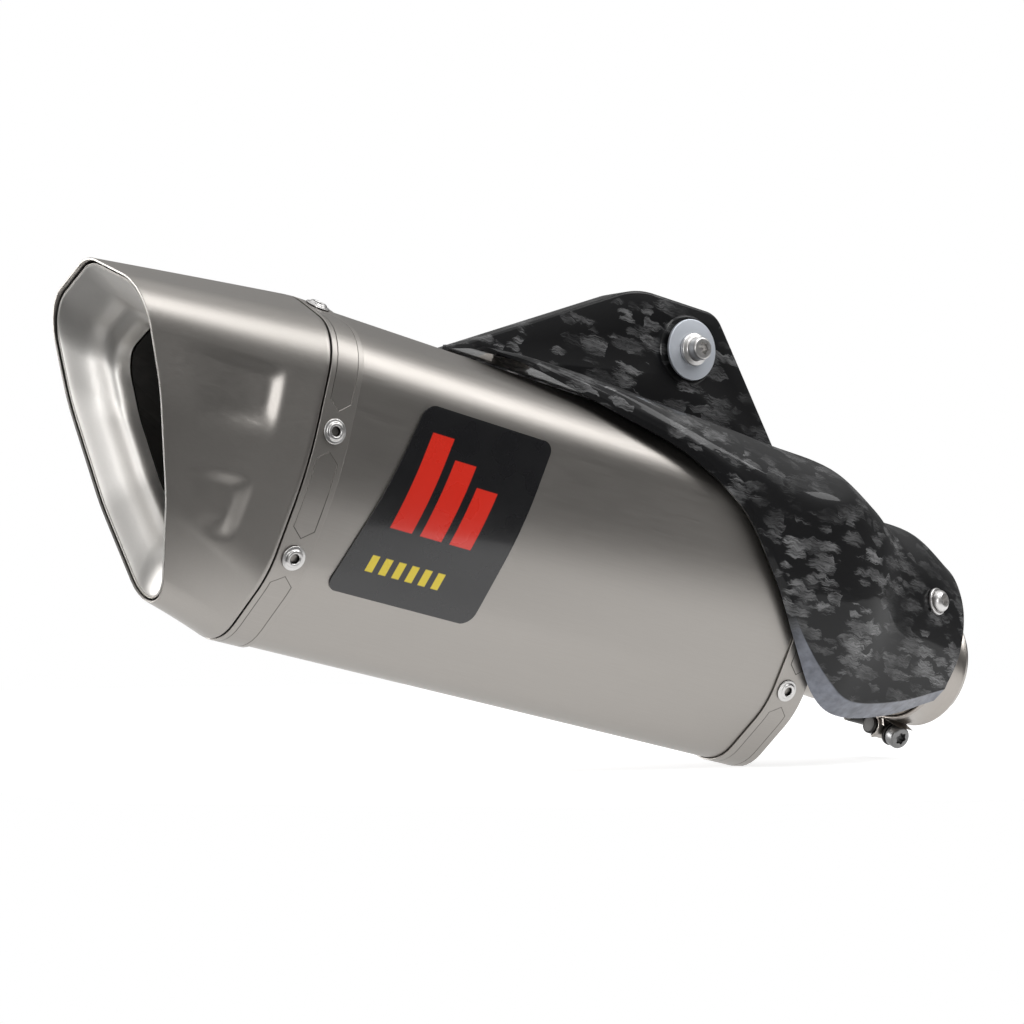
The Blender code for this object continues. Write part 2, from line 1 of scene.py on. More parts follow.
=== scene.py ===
"""Looks for the slip-on silencer: finely modelled pieces and procedural materials around the CAD frame.

Shapes are drawn in the silencer's own frame, in millimetres, as in the CAD: x forward along the can
from the cap's seam, y inboard, z up. Each piece's mesh keeps that frame, scaled to metres, so its
object coordinates are the silencer's own, and its object carries the can's pitch and place.
"""
import json
from math import acos, atan2, cos, exp, log, pi, radians, sin, tan

import bmesh
import bpy
from mathutils import Matrix, Vector


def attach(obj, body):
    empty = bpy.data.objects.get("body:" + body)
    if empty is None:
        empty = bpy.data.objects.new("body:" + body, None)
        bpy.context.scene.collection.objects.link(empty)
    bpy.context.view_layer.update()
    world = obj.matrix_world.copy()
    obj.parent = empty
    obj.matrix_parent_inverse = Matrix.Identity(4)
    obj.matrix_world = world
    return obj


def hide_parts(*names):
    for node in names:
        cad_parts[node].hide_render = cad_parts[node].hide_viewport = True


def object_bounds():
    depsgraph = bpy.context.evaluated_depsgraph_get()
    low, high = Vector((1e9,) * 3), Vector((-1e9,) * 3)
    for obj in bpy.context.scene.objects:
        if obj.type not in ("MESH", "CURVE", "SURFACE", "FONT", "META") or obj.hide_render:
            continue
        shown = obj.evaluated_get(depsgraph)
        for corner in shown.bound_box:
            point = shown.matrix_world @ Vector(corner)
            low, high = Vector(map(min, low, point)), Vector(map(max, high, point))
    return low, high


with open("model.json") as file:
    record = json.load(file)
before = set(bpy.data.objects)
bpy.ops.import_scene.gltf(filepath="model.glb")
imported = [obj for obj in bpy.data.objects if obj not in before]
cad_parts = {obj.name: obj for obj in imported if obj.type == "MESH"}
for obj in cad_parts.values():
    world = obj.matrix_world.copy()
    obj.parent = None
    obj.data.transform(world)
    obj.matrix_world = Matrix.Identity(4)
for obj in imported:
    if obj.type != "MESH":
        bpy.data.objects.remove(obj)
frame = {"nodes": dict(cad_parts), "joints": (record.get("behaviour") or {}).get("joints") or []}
cad_box = [list(corner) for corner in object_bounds()]

MM = 0.001
GAP = 0.3
PITCH = radians(12)
HANGER = Vector((221.0, 30.0, 112.0))           # the row frame's origin, in the can's frame
TURN = Matrix.Rotation(PITCH, 4, "Y")
PLACE = Matrix.Translation(-(TURN @ HANGER) * MM) @ TURN

CAN = [(0, 76, 45), (50.5, 52, 25), (47.5, 0, 115), (33, -42, 40), (0, -75.5, 20)]
MOUTH = [(0, 63.5, 20), (39, 49.5, 20), (37.5, 14, 60), (26.5, -24, 60), (0, -77.8, 14.4)]
MOUTH_X, MOUTH_SLANT = -56.0, 0.45
THROAT_X, THROAT_SCALE, THROAT_RISE = -36.0, 0.64, 5.0
SHEET, BAND_OUT, BAND_WIDTH = 1.0, 1.0, 15.0
FRONT_BAND_START, CAN_FRONT = 262.0, 279.5
RIVET_Z = (67.5, 14.8, -34.4)
RIVET_X = {"rear": 7.5, "front": 269.0}
PIPE_R, PIPE_WALL, PIPE_START, PIPE_END = 27.0, 1.5, 312.0, 390.0
CLAMP_X, CLAMP_WIDTH, CLAMP_TURN = 379.5, 17.0, radians(21)
BOLT_Z, BARREL_R, BARREL_YS = -34.0, 4.3, (0.0, 15.0)
STRAP_R, LOOP_R = PIPE_R + GAP + 0.5, BARREL_R + GAP + 0.5
BRACKET_FACE, BRACKET_WALL, BRACKET_DEPTH = 10.0, 3.0, 16.0
LUG_X, LUG_Z = {"rear": 128.0, "front": 250.0}, 76.5
OUTBOARD = (0, -1, 0)
FINE = 10                                        # spans in each corner's arc
SOCKET_LOBES, LOBE_DEPTH = 6, 0.13               # Torx socket: lobes, and their share of its radius
SKIN_EDGE = 0.25                                 # rounding of a sheet's cut edges
BADGE_TOP, BADGE_BOTTOM, BADGE_CORNER = 36.5, -42.0, 5.0
BADGE_REAR, BADGE_FRONT = (47, 26), (111, 96.5)  # x of each side edge at the badge's top and bottom
SHIELD_SHEET, LIP_ROWS = 1.8, 5                  # the lip takes the first rows of the shield's grid
LIP_REFLECTION_FROM, LIP_REFLECTION_TO = 252, 266            # where the painted reflection on the shield's lip grows from black to grey, in x


# ------------------------------------------------------------------------------- shapes
def filleted(loop, grow=0.0, steps=FINE):
    """Closed outline whose (u, v, radius) corners are arcs of steps spans, moved out by grow."""
    points = []
    for index, (y, z, radius) in enumerate(loop):
        corner = Vector((y, z))
        before = (Vector(loop[index - 1][:2]) - corner).normalized()
        after = (Vector(loop[(index + 1) % len(loop)][:2]) - corner).normalized()
        half = acos(before.dot(after)) / 2
        centre = corner + (before + after).normalized() * radius / sin(half)
        first = corner + before * radius / tan(half) - centre
        last = corner + after * radius / tan(half) - centre
        start = atan2(first.y, first.x)
        sweep = (atan2(last.y, last.x) - start + pi) % (2 * pi) - pi
        for step in range(steps + 1):
            angle = start + sweep * step / steps
            points.append(centre + Vector((cos(angle), sin(angle))) * (radius + grow))
    return points


def section(corners, grow=0.0, spans=1):
    """Ring of (y, z) round a symmetrical section, its flats split into this many spans."""
    ring = filleted(corners + [(-y, z, r) for y, z, r in corners[-2:0:-1]], grow)
    dense = []
    for index, point in enumerate(ring):
        dense.append(point)
        if index % (FINE + 1) == FINE:
            following = ring[(index + 1) % len(ring)]
            dense += [point.lerp(following, i / spans) for i in range(1, spans)]
    return dense


def slanted(points, x, slant=0.0):
    """Place a ring of (y, z) at x, leaning back by slant for each unit of height."""
    return [Vector((x - slant * p.y, p.x, p.y)) for p in points]


def towards_circle(points, radius, amount=1.0):
    """Move a can section's ring towards a circle, its crown staying on top."""
    count = len(points)
    crown = FINE / 2
    moved = []
    for index, point in enumerate(points):
        angle = pi / 2 - (index - crown) * 2 * pi / count
        moved.append(point.lerp(Vector((cos(angle), sin(angle))) * radius, amount))
    return moved


def scaled(points, factor, rise):
    """Ring scaled about the can's axis, then lifted."""
    return [Vector((p.x * factor, p.y * factor + rise)) for p in points]


def blended(a, b, share):
    """Ring that lies this share of the way from a to b."""
    return [p.lerp(q, share) for p, q in zip(a, b)]


def side_point(z, side, grow):
    """Point and outward direction on the can's flank at height z; side is -1 outboard."""
    ring = section(CAN, grow)
    for p, q in zip(ring, ring[1:] + ring[:1]):
        if (p.x + q.x) * side > 0 and (p.y - z) * (q.y - z) <= 0 and p.y != q.y:
            spot = p.lerp(q, (z - p.y) / (q.y - p.y))
            along = (q - p).normalized()
            normal = Vector((along.y, -along.x))
            if normal.dot(spot) < 0:
                normal.negate()
            return Vector((0, spot.x, spot.y)), Vector((0, normal.x, normal.y))


def smooth_through(knots, steps):
    """Catmull-Rom curve through 3-D knots."""
    ends = [knots[0] * 2 - knots[1]] + knots + [knots[-1] * 2 - knots[-2]]
    curve = []
    for a, b, c, d in zip(ends, ends[1:], ends[2:], ends[3:]):
        for step in range(steps):
            t = step / steps
            curve.append((b * 2 + (c - a) * t + (a * 2 - b * 5 + c * 4 - d) * t * t
                          + (b * 3 - a - c * 3 + d) * t ** 3) / 2)
    return curve + [knots[-1]]


def smooth_step(low, high, value):
    t = min(1.0, max(0.0, (value - low) / (high - low)))
    return t * t * (3 - 2 * t)


# ------------------------------------------------------------------------------- pieces
def finish_piece(name, bm, material, body, stands_for, angle=38, matrix=PLACE):
    """Turn a bmesh drawn in millimetres into a piece on its body, in place of its CAD nodes."""
    bmesh.ops.scale(bm, vec=(MM, MM, MM), verts=bm.verts[:])
    mesh = bpy.data.meshes.new(name)
    bm.to_mesh(mesh)
    bm.free()
    mesh.materials.append(material)
    mesh.shade_smooth()
    mesh.set_sharp_from_angle(angle=radians(angle))
    made = bpy.data.objects.new(name, mesh)
    bpy.context.scene.collection.objects.link(made)
    made.matrix_world = matrix
    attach(made, body)
    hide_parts(*stands_for)
    return made


def rings_mesh(rings, closed=True, attribute=None):
    """Open surface through equal rings, with an optional float attribute for its vertices."""
    bm = bmesh.new()
    if attribute:
        bm.verts.layers.float.new(attribute)
    rows = [[bm.verts.new(p) for p in ring] for ring in rings]
    span = len(rows[0]) if closed else len(rows[0]) - 1
    for low, high in zip(rows, rows[1:]):
        for i in range(span):
            j = (i + 1) % len(low)
            bm.faces.new((low[i], high[i], high[j], low[j]))
    bmesh.ops.recalc_face_normals(bm, faces=bm.faces[:])
    return bm, rows


def thicken(made, thickness, offset=-1):
    """Give a surface its sheet thickness: inwards at offset -1, outwards at 1."""
    sheet = made.modifiers.new("sheet", "SOLIDIFY")
    sheet.thickness = thickness * MM
    sheet.offset = offset
    sheet.use_even_offset = True
    edge = made.modifiers.new("edge", "BEVEL")
    edge.width = SKIN_EDGE * MM
    edge.segments = 2
    edge.limit_method = "ANGLE"
    edge.angle_limit = radians(50)
    edge.harden_normals = True


def face_out(bm, away):
    """Flip the surface if its middle face looks towards the point away."""
    faces = list(bm.faces)
    face = faces[len(faces) // 2]
    if (face.calc_center_median() - Vector(away)).dot(face.normal) < 0:
        bmesh.ops.reverse_faces(bm, faces=faces)


def lathe(bm, profile, spot, direction, segments=40, star=None):
    """Add a solid of revolution from a (radius, height) profile, a Torx socket from index star on."""
    turn = Vector(direction).normalized().to_track_quat("Z", "Y").to_matrix()
    columns = []
    for index in range(segments):
        angle = 2 * pi * index / segments
        column = []
        for number, (r, h) in enumerate(profile):
            if star and number >= star:
                r = r * (1 + LOBE_DEPTH * cos(SOCKET_LOBES * angle))
            column.append(bm.verts.new(Vector(spot) + turn @ Vector((r * cos(angle), r * sin(angle), h))))
        columns.append(column)
    closed = profile[0][0] > 0 and profile[-1][0] > 0
    for index, column in enumerate(columns):
        other = columns[(index + 1) % segments]
        for i in range(len(profile) if closed else len(profile) - 1):
            j = (i + 1) % len(profile)
            bm.faces.new((column[i], other[i], other[j], column[j]))
    bmesh.ops.remove_doubles(bm, verts=[v for c in columns for v in c], dist=1e-4)


def turned(name, profile, spot, direction, material, body, stands_for, segments=40, star=None,
           matrix=PLACE):
    """Piece of revolution standing on spot, its heights along direction."""
    bm = bmesh.new()
    lathe(bm, profile, spot, direction, segments, star)
    bmesh.ops.recalc_face_normals(bm, faces=bm.faces[:])
    finish_piece(name, bm, material, body, stands_for, matrix=matrix)


def rounded(profile, radius, steps=3):
    """Round the inner corners of an open (radius, height) profile, its two ends kept."""
    points = [Vector(profile[0])]
    for before, corner, after in zip(profile, profile[1:], profile[2:]):
        before, corner, after = Vector(before), Vector(corner), Vector(after)
        back = min(radius, (before - corner).length * 0.45)
        ahead = min(radius, (after - corner).length * 0.45)
        first = corner + (before - corner).normalized() * back
        last = corner + (after - corner).normalized() * ahead
        for step in range(steps + 1):
            t = step / steps
            points.append(first * (1 - t) ** 2 + corner * 2 * t * (1 - t) + last * t * t)
    points.append(Vector(profile[-1]))
    return [tuple(p) for p in points]


def plate(bm, loops, start, end, bevel):
    """Add a flat plate between two values of y, from outlines in (x, z). Inner loops are holes."""
    curve = bpy.data.curves.new("plate", "CURVE")
    curve.dimensions = "2D"
    curve.fill_mode = "BOTH"
    curve.extrude = abs(end - start) / 2 - bevel
    curve.bevel_depth = bevel
    curve.bevel_resolution = 2
    curve.offset = -bevel
    for loop in loops:
        spline = curve.splines.new("POLY")
        spline.points.add(len(loop) - 1)
        for point, (u, v) in zip(spline.points, loop):
            point.co = (u, v, 0, 1)
        spline.use_cyclic_u = True
    drawn = bpy.data.objects.new("plate", curve)
    bpy.context.scene.collection.objects.link(drawn)
    mesh = bpy.data.meshes.new_from_object(drawn.evaluated_get(bpy.context.evaluated_depsgraph_get()))
    bpy.data.objects.remove(drawn)
    mesh.transform(Matrix(((1, 0, 0, 0), (0, 0, -1, (start + end) / 2), (0, 1, 0, 0), (0, 0, 0, 1))))
    bm.from_mesh(mesh)
    bpy.data.meshes.remove(mesh)
    bmesh.ops.remove_doubles(bm, verts=bm.verts[:], dist=1e-4)
    bmesh.ops.recalc_face_normals(bm, faces=bm.faces[:])


# ------------------------------------------------------------------------------- materials
TITANIUM_TONE = (0.34, 0.322, 0.302)
STEEL_TONE = (0.6, 0.59, 0.58)
# ETCH_BROWN is the etched lines' own colour; BORE_PAINTED_SHADE is painted shade for the rivets' bores
ETCH_BROWN, BORE_PAINTED_SHADE = (0.05, 0.045, 0.04), (0.008, 0.008, 0.008)
# LIP_PAINTED_REFLECTION is not the lip's own colour but a painted reflection of the floor
RESIN_BLACK, FIBRE_GREY, LIP_PAINTED_REFLECTION = (0.0025, 0.0025, 0.003), (0.17, 0.17, 0.172), (0.17, 0.18, 0.21)
FILM_BLACK, PRINT_RED, PRINT_YELLOW = (0.006, 0.006, 0.007), (0.62, 0.022, 0.01), (0.65, 0.5, 0.01)
WINDOW_HALF = 0.0048                             # half the width of a band's window, in metres
CHIP_LAYERS = (                                  # turn, shift, share of chips left out, size
    (0.35, 0.0, 0.86, 1.2), (1.25, 3.1, 0.86, 1.0), (2.3, 7.7, 0.86, 1.3), (-0.5, 12.3, 0.87, 0.8),
    (0.9, 20.9, 0.88, 0.6),
)


class Look:
    """A node material being built, with short calls for the nodes it uses most."""

    def __init__(self, name, colour=(0.5, 0.5, 0.5), roughness=0.4, metallic=0.0):
        self.material = bpy.data.materials.new(name)
        self.material.use_nodes = True
        self.tree = self.material.node_tree
        self.shader = self.tree.nodes["Principled BSDF"]
        self.put("Base Color", (*colour, 1))
        self.put("Roughness", roughness)
        self.put("Metallic", metallic)
        self.coords = self.tree.nodes.new("ShaderNodeTexCoord").outputs["Object"]

    def put(self, socket, value):
        if isinstance(value, bpy.types.NodeSocket):
            self.tree.links.new(value, self.shader.inputs[socket])
        else:
            self.shader.inputs[socket].default_value = value

    def node(self, kind, inputs=(), **settings):
        made = self.tree.nodes.new(kind)
        for key, value in settings.items():
            setattr(made, key, value)
        for key, value in dict(inputs).items():
            if isinstance(value, bpy.types.NodeSocket):
                self.tree.links.new(value, made.inputs[key])
            else:
                made.inputs[key].default_value = value
        return made

    def math(self, operation, a, b=0.0, c=0.0, clamp=False):
        made = self.node("ShaderNodeMath", {0: a, 1: b, 2: c}, operation=operation, use_clamp=clamp)
        return made.outputs[0]

    def attribute(self, name):
        return self.node("ShaderNodeAttribute", attribute_name=name).outputs["Fac"]

    def mapped(self, scale, rotation=(0, 0, 0), shift=(0, 0, 0), source=None):
        inputs = {"Vector": source or self.coords, "Scale": scale, "Rotation": rotation, "Location": shift}
        return self.node("ShaderNodeMapping", inputs).outputs[0]

    def noise(self, vector, scale=1.0, detail=2.0, roughness=0.5):
        inputs = {"Vector": vector, "Scale": scale, "Detail": detail, "Roughness": roughness}
        return self.node("ShaderNodeTexNoise", inputs).outputs[0]

    def remap(self, value, low, high, to_low, to_high, smooth=False):
        inputs = {"Value": value, "From Min": low, "From Max": high, "To Min": to_low, "To Max": to_high}
        made = self.node("ShaderNodeMapRange", inputs)
        if smooth:
            made.interpolation_type = "SMOOTHSTEP"
        return made.outputs[0]

    def mix(self, share, a, b):
        made = self.node("ShaderNodeMix", data_type="RGBA")
        for key, value in ((0, share), (6, a), (7, b)):
            if isinstance(value, bpy.types.NodeSocket):
                self.tree.links.new(value, made.inputs[key])
            else:
                made.inputs[key].default_value = value if key == 0 else (*value, 1)
        return made.outputs[2]

    def bump(self, height, strength, distance, normal=None):
        inputs = {"Height": height, "Strength": strength, "Distance": distance}
        if normal:
            inputs["Normal"] = normal
        self.put("Normal", self.node("ShaderNodeBump", inputs).outputs[0])

    def axis(self, index):
        return self.node("ShaderNodeSeparateXYZ", {0: self.coords}).outputs[index]

    def source(self, socket):
        """The output that feeds this socket of the shader."""
        return self.shader.inputs[socket].links[0].from_socket


def satin_metal(name, colour, roughness, stretch=(60, 2400, 2400), cloud=0.06, grain=0.05):
    """Satin metal: brushing drawn out by stretch, a fine grain, and slow clouds of tone."""
    look = Look(name, colour, roughness, 1.0)
    brush = look.noise(look.mapped(stretch), 1.0, 3.0, 0.6)
    clouds = look.noise(look.coords, 14.0, 3.0, 0.55)
    fine = look.noise(look.coords, 900.0, 2.0, 0.6)
    shade = look.math("ADD", look.remap(brush, 0.3, 0.7, -grain, grain),
                      look.remap(clouds, 0.3, 0.7, -cloud, cloud))
    light = tuple(min(1.0, c * 1.25) for c in colour)
    dark = tuple(c * 0.75 for c in colour)
    look.put("Base Color", look.mix(look.math("ADD", shade, 0.5, clamp=True), dark, light))
    rough = look.math("ADD", look.remap(brush, 0.3, 0.7, roughness - 0.03, roughness + 0.03),
                      look.remap(clouds, 0.3, 0.7, -0.01, 0.01))
    look.put("Roughness", rough)
    height = look.math("ADD", brush, look.math("MULTIPLY", fine, 0.5))
    look.bump(height, 0.03, 0.0003)
    return look


def carbon_look():
    """Forged carbon: grey chips of chopped tow lying at all angles in black resin, under clear coat.

    The attribute lip is 1 where the shield's lip gets a painted grey reflection of the floor instead of
    chips.
    """
    look = Look("forged_carbon")
    cloud = look.node("ShaderNodeTexNoise", {"Vector": look.coords, "Scale": 190.0, "Detail": 6.0})
    spread = cloud.outputs[1]
    pull = look.node("ShaderNodeVectorMath", {0: spread, 3: 0.005}, operation="SCALE").outputs[0]
    warped = look.node("ShaderNodeVectorMath", {0: look.coords, 1: pull}, operation="ADD").outputs[0]
    total = None
    for turn, shift, share, size in CHIP_LAYERS:
        lay = (0, turn, 0.3 * turn)
        placed = look.mapped((78 / size, 70 / size, 190 / size), lay, (shift, shift, shift), warped)
        cells = look.node("ShaderNodeTexVoronoi", {"Vector": placed, "Scale": 1.0}, feature="F1")
        chip = look.node("ShaderNodeSeparateColor", {0: cells.outputs["Color"]})
        fibre = look.noise(look.mapped((120, 150, 1500), lay, (shift, 0, 0), warped), 1.0, 4.0, 0.75)
        # a chip fades towards its rim, where the streaks break it up
        torn = look.math("MULTIPLY_ADD", fibre, -1.1, cells.outputs["Distance"])
        shown = look.math("MULTIPLY", look.remap(chip.outputs[1], share - 0.04, share - 0.01, 0.0, 1.0),
                          look.remap(torn, -0.16, 0.1, 1.0, 0.0))
        tone = look.math("MULTIPLY", look.remap(chip.outputs[0], 0.0, 1.0, 0.3, 1.0),
                         look.remap(fibre, 0.38, 0.6, 0.2, 1.2))
        layer = look.math("MULTIPLY", shown, tone)
        total = layer if total is None else look.math("MAXIMUM", total, layer)
    patches = look.remap(look.noise(look.coords, 34.0, 3.0), 0.38, 0.6, 0.12, 1.0)
    value = look.math("MULTIPLY", total, patches, clamp=True)
    chips = look.mix(value, RESIN_BLACK, FIBRE_GREY)
    # painted reflection on the lip, mottled by this noise
    edge = look.remap(look.noise(look.coords, 220.0, 3.0), 0.3, 0.7, 0.55, 1.0)
    pale = look.math("MULTIPLY", look.attribute("lip"), edge)
    look.put("Base Color", look.mix(pale, chips, LIP_PAINTED_REFLECTION))
    look.put("Roughness", look.remap(value, 0.0, 1.0, 0.5, 0.36))
    look.put("Specular IOR Level", 0.15)
    look.put("Coat Weight", 0.5)
    look.put("Coat IOR", 1.32)
    look.put("Coat Roughness", 0.05)
    look.bump(value, 0.1, 0.0002)
    return look


def badge_look():
    """Black film with a generic print: slanted red bars over a row of yellow dashes."""
    look = Look("badge_film")
    x, z = look.axis(0), look.axis(2)
    lean = look.math("SUBTRACT", x, look.math("MULTIPLY", z, 0.2))      # constant along the badge's edges

    def between(value, low, high, soft=0.0002):
        up = look.remap(value, low - soft, low + soft, 0.0, 1.0)
        down = look.remap(value, high - soft, high + soft, 1.0, 0.0)
        return look.math("MULTIPLY", up, down)

    red = None
    for left, top in ((0.047, 0.026), (0.0615, 0.018), (0.076, 0.010)):
        bar = look.math("MULTIPLY", between(lean, left, left + 0.0105), between(z, -0.014, top))
        red = bar if red is None else look.math("MAXIMUM", red, bar)
    dash = look.math("PINGPONG", look.math("SUBTRACT", lean, 0.045), 0.0032)
    dashes = look.math("MULTIPLY", look.remap(dash, 0.0013, 0.0016, 0.0, 1.0),
                       look.math("MULTIPLY", between(z, -0.032, -0.0255), between(lean, 0.045, 0.0834)))
    colour = look.mix(red, FILM_BLACK, PRINT_RED)
    look.put("Base Color", look.mix(dashes, colour, PRINT_YELLOW))
    look.put("Roughness", look.remap(look.noise(look.coords, 60.0, 3.0), 0.3, 0.7, 0.24, 0.32))
    look.put("Coat Weight", 0.5)
    look.put("Coat Roughness", 0.1)
    return look


def band_look(name, middle):
    """Titanium band: lighter matte round the rivets, with a satin etched window between each two.

    The attribute edge_run holds the distance in metres from a window's nearer end, positive inside.
    """
    look = satin_metal(name, TITANIUM_TONE, 0.4)
    across = look.math("ABSOLUTE", look.math("SUBTRACT", look.axis(0), middle))
    # the window's ends come to a point
    ends = look.math("SUBTRACT", look.attribute("edge_run"), look.math("MULTIPLY", across, 0.8))
    inside = look.math("MINIMUM", ends, look.math("SUBTRACT", WINDOW_HALF, across))
    line = look.remap(look.math("ABSOLUTE", inside), 0.00008, 0.0003, 1.0, 0.0, smooth=True)
    zone = look.remap(inside, -0.0002, 0.0002, 1.0, 0.0)
    hatch = look.noise(look.mapped((5000, 700, 700)), 1.0, 2.0, 0.7)
    pale = tuple(c * 1.12 for c in TITANIUM_TONE)
    matte = look.mix(look.remap(hatch, 0.3, 0.7, 0.0, 1.0), TITANIUM_TONE, pale)
    toned = look.mix(look.math("MULTIPLY", zone, 0.45), look.source("Base Color"), matte)
    look.put("Base Color", look.mix(look.math("MULTIPLY", line, 0.75), toned, ETCH_BROWN))
    look.put("Roughness", look.remap(zone, 0.0, 1.0, 0.42, 0.44))
    step = look.remap(inside, -0.00025, 0.00025, 1.0, 0.0, smooth=True)
    look.bump(step, 0.9, 0.0002, look.source("Normal"))
    return look


def rivet_look():
    """Bright steel with painted shade, near-black, where the attribute hole is 1, down a rivet's bore."""
    look = satin_metal("rivet_steel_bore_shade", STEEL_TONE, 0.36, (400, 400, 400), 0.04, 0.02)
    look.put("Base Color", look.mix(look.attribute("hole"), look.source("Base Color"), BORE_PAINTED_SHADE))
    return look


titanium = satin_metal("satin_titanium", TITANIUM_TONE, 0.4, cloud=0.02)
funnel_metal = satin_metal("funnel_titanium", (0.8, 0.78, 0.75), 0.5, (900, 900, 900), 0.03, 0.03)
inner_metal = satin_metal("plain_titanium", (0.4, 0.37, 0.34), 0.42)
pipe_metal = satin_metal("warm_titanium", (0.36, 0.335, 0.31), 0.32, (900, 200, 200))
steel = satin_metal("bright_steel", STEEL_TONE, 0.36, (400, 400, 400), 0.04, 0.02)
rivet_steel_bore_shade = rivet_look()
pale_steel = satin_metal("zinc_steel", (0.56, 0.59, 0.64), 0.45, (700, 700, 700), 0.05, 0.03)
pale_steel.put("Metallic", 0.6)
dull_steel = satin_metal("dull_steel", (0.2, 0.2, 0.2), 0.34, (500, 500, 500), 0.05, 0.04)
black_steel = satin_metal("black_steel", (0.035, 0.034, 0.033), 0.38, (700, 700, 700), 0.1, 0.1)
# the tube deep inside the can is near-black, with faint mottling: painted shade of the can's interior
tube_shade = Look("tube_painted_shade", roughness=0.75, metallic=0.3)
tube_shade.put("Base Color", tube_shade.mix(tube_shade.noise(tube_shade.coords, 120.0, 4.0), (0.006, 0.006, 0.006),
                                (0.03, 0.027, 0.024)))
rubber = Look("bush_rubber", (0.02, 0.02, 0.02), 0.8)
rubber.bump(rubber.noise(rubber.coords, 1500.0, 2.0), 0.2, 0.0002)
wool = Look("packing_wool", (0.6, 0.55, 0.42), 0.95)
wool.bump(wool.noise(wool.mapped((300, 1500, 1500)), 1.0, 5.0, 0.7), 0.8, 0.001)
carbon = carbon_look()
badge_film = badge_look()

# CAD nodes whose own shape shows
KEPT_NODES = {
    "bracket_lug_rear": inner_metal, "bracket_lug_front": inner_metal, "outlet_bulkhead": inner_metal,
    "shield_standoff": inner_metal, "perforated_core": steel, "packing": wool, "outlet_tube": tube_shade,
    "hanger_bush": rubber,
}
for name, look in KEPT_NODES.items():
    slots = frame["nodes"][name].data.materials
    slots.clear()
    slots.append(look.material)


# ------------------------------------------------------------------------------- the can
CORNER_SOFTNESS = 1.8                            # of the recesses' inner corners
BORE_SHADE_RADIUS = 1.9                                # a rivet's bore gets painted shade within this distance of its axis
WINDOW_START = 8.0                               # from a rivet's centre to a band's window
WALL_FROM, WALL_TO = -0.8, 5.6                   # a recess's wall, as distances inside its outline
RECESSES = (                                     # rear top, front top, front bottom, rear bottom; depth
    ((-58, 35), (-16.5, 33.5), (-16, 8.5), (-44, 6.5), 1.8),
    ((-42, -9), (-17, -9.5), (-17, -33.5), (-29, -33.5), 1.6),
)


def recess_depth(x, z):
    """How deep the stamped recesses are at this place on the cap's flank."""
    depth = 0.0
    for rear_top, front_top, front_low, rear_low, full in RECESSES:
        sides = []
        for (x1, z1), (x2, z2) in ((rear_top, front_top), (front_top, front_low), (front_low, rear_low)):
            along = Vector((x2 - x1, z2 - z1)).normalized()
            sides.append((z - z1) * along.x * -1 + (x - x1) * along.y)
        # a soft minimum rounds the corners between the three walls
        inside = -CORNER_SOFTNESS * log(sum(exp(-side / CORNER_SOFTNESS) for side in sides))
        if inside <= -1:
            continue
        # the recess runs out towards its open rear end
        share = (z - rear_low[1]) / (rear_top[1] - rear_low[1])
        rear = rear_low[0] + (rear_top[0] - rear_low[0]) * share
        front = front_low[0] + (front_top[0] - front_low[0]) * share
        ramp = smooth_step(-0.1, 0.72, (x - rear) / (front - rear))
        depth = max(depth, full * ramp * smooth_step(WALL_FROM, WALL_TO, inside))
    return depth


def outlet_cap():
    """Stamped end cap from the can's section to the slanted mouth, with two recesses on each side."""
    across, along = 34, 72
    seam, mouth = section(CAN, BAND_OUT, across), section(MOUTH, 0.0, across)
    rings = []
    for i in range(along + 1):
        share = i / along
        x = MOUTH_X * share - GAP * (1 - share)
        rings.append(slanted(blended(seam, mouth, share), x, MOUTH_SLANT * share))
    bm, _ = rings_mesh(rings)
    bm.normal_update()
    moved = []
    for vert in bm.verts:
        depth = recess_depth(vert.co.x, vert.co.z) if abs(vert.co.y) > 20 else 0.0
        # the sheet turns in slightly just before the seam
        roll = 0.5 * smooth_step(-1.6, -0.2, vert.co.x)
        moved.append((vert, vert.normal * -(depth + roll)))
    for vert, step in moved:
        vert.co += step
    cap = finish_piece("cap_skin", bm, titanium.material, "can", ["outlet_cap"])
    thicken(cap, SHEET)


def outlet_funnel():
    """Rolled lip and funnel from the mouth down to the throat."""
    lip = section(MOUTH, -SHEET - 1.4, 4)
    mouth = section(MOUTH, 0.0, 4)
    throat = scaled(mouth, THROAT_SCALE, THROAT_RISE)
    middle = blended(lip, throat, 0.55)
    knots = [
        slanted(lip, MOUTH_X + 0.9, MOUTH_SLANT),
        slanted(blended(lip, throat, 0.06), MOUTH_X + 2.4, MOUTH_SLANT),
        slanted(middle, MOUTH_X + 9.5, MOUTH_SLANT),
        slanted(scaled(throat, 1.1, -0.5), THROAT_X - 4, MOUTH_SLANT),
        slanted(scaled(throat, 1.01, 0), THROAT_X - 0.5, MOUTH_SLANT),
        slanted(scaled(throat, 0.99, 0), THROAT_X + 5, MOUTH_SLANT),
    ]
    rails = [smooth_through([ring[i] for ring in knots], 7) for i in range(len(lip))]
    rings = [list(ring) for ring in zip(*rails)]
    bm, _ = rings_mesh(rings)
    funnel = finish_piece("funnel_skin", bm, funnel_metal.material, "can", ["outlet_funnel"])
    thicken(funnel, 0.8, 1)


def sleeve():
    outline = section(CAN, 0.0, 3)
    bm, _ = rings_mesh([slanted(outline, 1 + (CAN_FRONT - 2) * i / 12) for i in range(13)])
    made = finish_piece("sleeve_skin", bm, titanium.material, "can", ["outer_sleeve"])
    thicken(made, SHEET)


